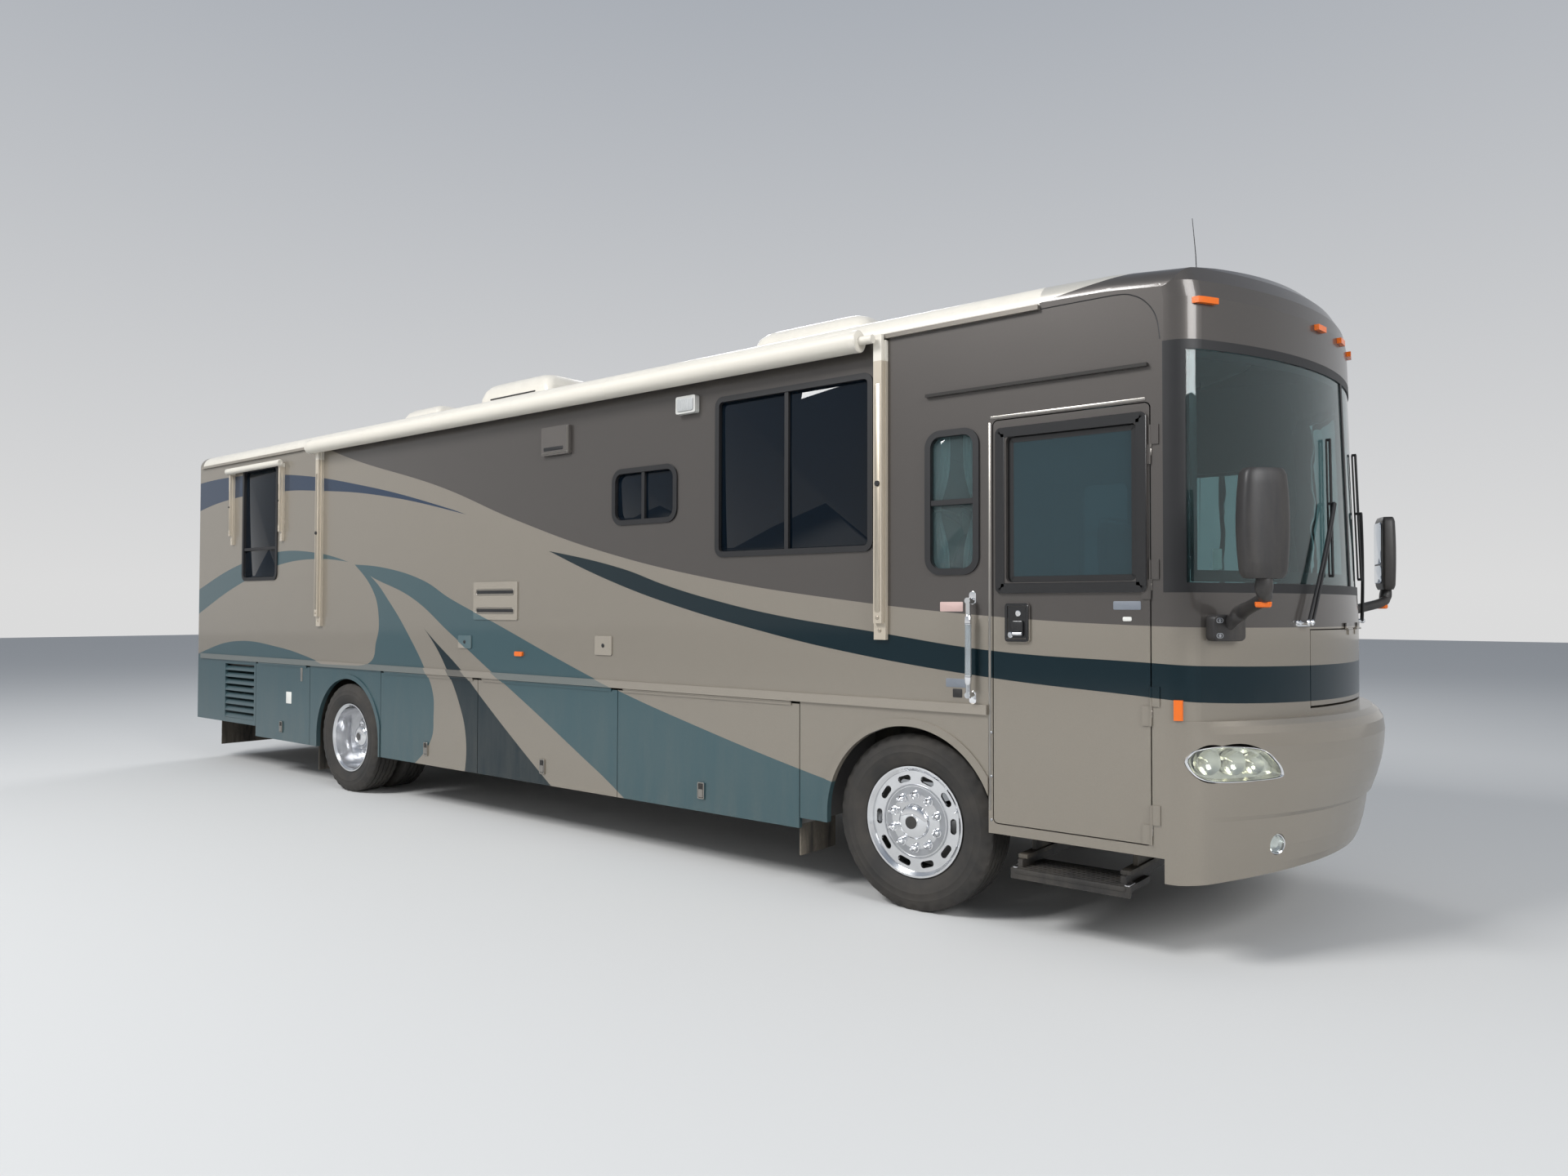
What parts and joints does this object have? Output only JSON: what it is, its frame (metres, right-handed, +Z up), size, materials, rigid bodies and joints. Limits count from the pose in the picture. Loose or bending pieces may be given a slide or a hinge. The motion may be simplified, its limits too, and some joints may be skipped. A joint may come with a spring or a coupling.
{
  "type": "motorhome",
  "caption": "Long flat-nosed motorhome on steered front wheels and twin rear wheels, with an entry door, baggage lids, slide-out rooms, awnings, a ladder and a hitch.",
  "frame": {"origin": "on the ground under the middle of the vehicle, halfway along its length and width", "axes": "+X points forward to the windshield, +Y to the driver's left side, +Z up"},
  "size_m": [11.05, 3.1569, 3.7049],
  "materials": {
    "paint_upper": "gloss",
    "paint_lower": "gloss",
    "cream_panel": "gloss",
    "cream_fabric": "matt",
    "black_trim": "matt",
    "dark_metal": "satin",
    "cast_metal": "rough",
    "chrome_trim": "polished",
    "alloy": "polished",
    "tyre_rubber": "matt",
    "rubber_flap": "matt",
    "dark_glass": "gloss",
    "clear_glass": "gloss",
    "lamp_lens": "gloss",
    "amber_lens": "gloss",
    "cabin_trim": "grained",
    "seat_leather": "soft",
    "floor_wood": "satin",
    "bay_metal": "satin",
    "beige_mold": "gloss"
  },
  "bodies": {
    "body": {"awnings": "cream_panel", "baggage_bays": "bay_metal", "cab_seats": "seat_leather", "chassis_frame": "dark_metal", "curtains": "cream_fabric", "dashboard": "cabin_trim", "engine": "cast_metal", "floor": "floor_wood", "front_axle": "cast_metal", "front_cap": "paint_upper", "front_fascia": "paint_lower", "headlights": "lamp_lens", "hitch_receiver": "dark_metal", "left_wall": "paint_upper", "marker_lamps": "amber_lens", "mirrors": "black_trim", "moldings": "beige_mold", "mud_flaps": "rubber_flap", "rear_axle": "cast_metal", "rear_bumper": "paint_lower", "rear_cap": "paint_upper", "rear_ladder": "chrome_trim", "right_wall": "paint_upper", "roof": "cream_panel", "roof_equipment": "cream_panel", "side_fittings": "black_trim", "skirts": "paint_lower", "window_frames": "black_trim", "window_glass": "dark_glass", "windshield": "clear_glass", "windshield_frame": "black_trim", "wipers": "black_trim"},
    "steered_knuckle_right": {"knuckle_right": "cast_metal"},
    "steered_knuckle_left": {"knuckle_left": "cast_metal"},
    "front_wheel_right": {"front_rim_right": "alloy", "front_tyre_right": "tyre_rubber"},
    "front_wheel_left": {"front_rim_left": "alloy", "front_tyre_left": "tyre_rubber"},
    "rear_wheels_right": {"rear_rims_right": "alloy", "rear_tyres_right": "tyre_rubber"},
    "rear_wheels_left": {"rear_rims_left": "alloy", "rear_tyres_left": "tyre_rubber"},
    "cab_steering_wheel": {"steering_wheel": "black_trim"},
    "entry_door_leaf": {"entry_door": "paint_lower", "entry_door_glass": "dark_glass"},
    "folding_step": {"entry_step": "dark_metal"},
    "living_room": {"living_slide": "paint_upper"},
    "bedroom_room": {"bedroom_slide": "paint_upper"},
    "hood": {"front_hood": "paint_lower"},
    "engine_lid": {"engine_door": "paint_lower"},
    "lid_right_1": {"baggage_door_right_1": "paint_lower"},
    "lid_right_2": {"baggage_door_right_2": "paint_lower"},
    "lid_right_3": {"baggage_door_right_3": "paint_lower"},
    "lid_right_rear": {"baggage_door_right_rear": "paint_lower"},
    "lid_left_1": {"baggage_door_left_1": "paint_lower"},
    "lid_left_2": {"baggage_door_left_2": "paint_lower"},
    "lid_left_3": {"baggage_door_left_3": "paint_lower"}
  },
  "joints": [
    {"name": "steer_right", "type": "hinge", "parent": "body", "child": "steered_knuckle_right", "pos_m": [3.5, -1.01, 0.475], "axis": [0, 0, 1], "range_deg": [-40, 40]},
    {"name": "front_wheel_right_spin", "type": "hinge", "parent": "steered_knuckle_right", "child": "front_wheel_right", "pos_m": [3.5, -1.1, 0.475], "axis": [0, 1, 0], "continuous": true},
    {"name": "rear_wheels_right_spin", "type": "hinge", "parent": "body", "child": "rear_wheels_right", "pos_m": [-2.291, -1.1, 0.475], "axis": [0, 1, 0], "continuous": true},
    {"name": "steer_left", "type": "hinge", "parent": "body", "child": "steered_knuckle_left", "pos_m": [3.5, 1.01, 0.475], "axis": [0, 0, 1], "range_deg": [-40, 40]},
    {"name": "front_wheel_left_spin", "type": "hinge", "parent": "steered_knuckle_left", "child": "front_wheel_left", "pos_m": [3.5, 1.1, 0.475], "axis": [0, 1, 0], "continuous": true},
    {"name": "rear_wheels_left_spin", "type": "hinge", "parent": "body", "child": "rear_wheels_left", "pos_m": [-2.291, 1.1, 0.475], "axis": [0, 1, 0], "continuous": true},
    {"name": "steering_wheel_turn", "type": "hinge", "parent": "body", "child": "cab_steering_wheel", "pos_m": [4.68275, 0.62, 1.70378], "axis": [-0.6392, 0, 0.769], "range_deg": [-420, 420]},
    {"name": "entry_door_swing", "type": "hinge", "parent": "body", "child": "entry_door_leaf", "pos_m": [4.805, -1.296, 1.6], "axis": [0, 0, 1], "range_deg": [0, 95]},
    {"name": "entry_step_slide", "type": "slide", "parent": "body", "child": "folding_step", "axis": [0, -1, 0], "range_m": [0, 0.32]},
    {"name": "living_slide_out", "type": "slide", "parent": "body", "child": "living_room", "axis": [0, 1, 0], "range_m": [0, 0.6]},
    {"name": "bedroom_slide_out", "type": "slide", "parent": "body", "child": "bedroom_room", "axis": [0, 1, 0], "range_m": [0, 0.55]},
    {"name": "hood_lift", "type": "hinge", "parent": "body", "child": "hood", "pos_m": [5.407, 0, 1.527], "axis": [0, -1, 0], "range_deg": [0, 60]},
    {"name": "engine_lid_lift", "type": "hinge", "parent": "body", "child": "engine_lid", "pos_m": [-5.437, 0, 1.563], "axis": [0, 1, 0], "range_deg": [0, 75]},
    {"name": "lid_right_1_lift", "type": "hinge", "parent": "body", "child": "lid_right_1", "pos_m": [0, -1.296, 1.0817], "axis": [-1, 0, 0], "range_deg": [0, 85]},
    {"name": "lid_right_2_lift", "type": "hinge", "parent": "body", "child": "lid_right_2", "pos_m": [0, -1.296, 1.0817], "axis": [-1, 0, 0], "range_deg": [0, 85]},
    {"name": "lid_right_3_lift", "type": "hinge", "parent": "body", "child": "lid_right_3", "pos_m": [0, -1.296, 1.0817], "axis": [-1, 0, 0], "range_deg": [0, 85]},
    {"name": "lid_right_rear_lift", "type": "hinge", "parent": "body", "child": "lid_right_rear", "pos_m": [0, -1.296, 1.0817], "axis": [-1, 0, 0], "range_deg": [0, 85]},
    {"name": "lid_left_1_lift", "type": "hinge", "parent": "body", "child": "lid_left_1", "pos_m": [0, 1.296, 1.0817], "axis": [1, 0, 0], "range_deg": [0, 85]},
    {"name": "lid_left_2_lift", "type": "hinge", "parent": "body", "child": "lid_left_2", "pos_m": [0, 1.296, 1.0817], "axis": [1, 0, 0], "range_deg": [0, 85]},
    {"name": "lid_left_3_lift", "type": "hinge", "parent": "body", "child": "lid_left_3", "pos_m": [0, 1.296, 1.0817], "axis": [1, 0, 0], "range_deg": [0, 85]}
  ],
  "couplings": [
    {"joint": "steer_left", "follows": "steer_right", "ratio": 1},
    {"joint": "steering_wheel_turn", "follows": "steer_right", "ratio": 10}
  ]
}
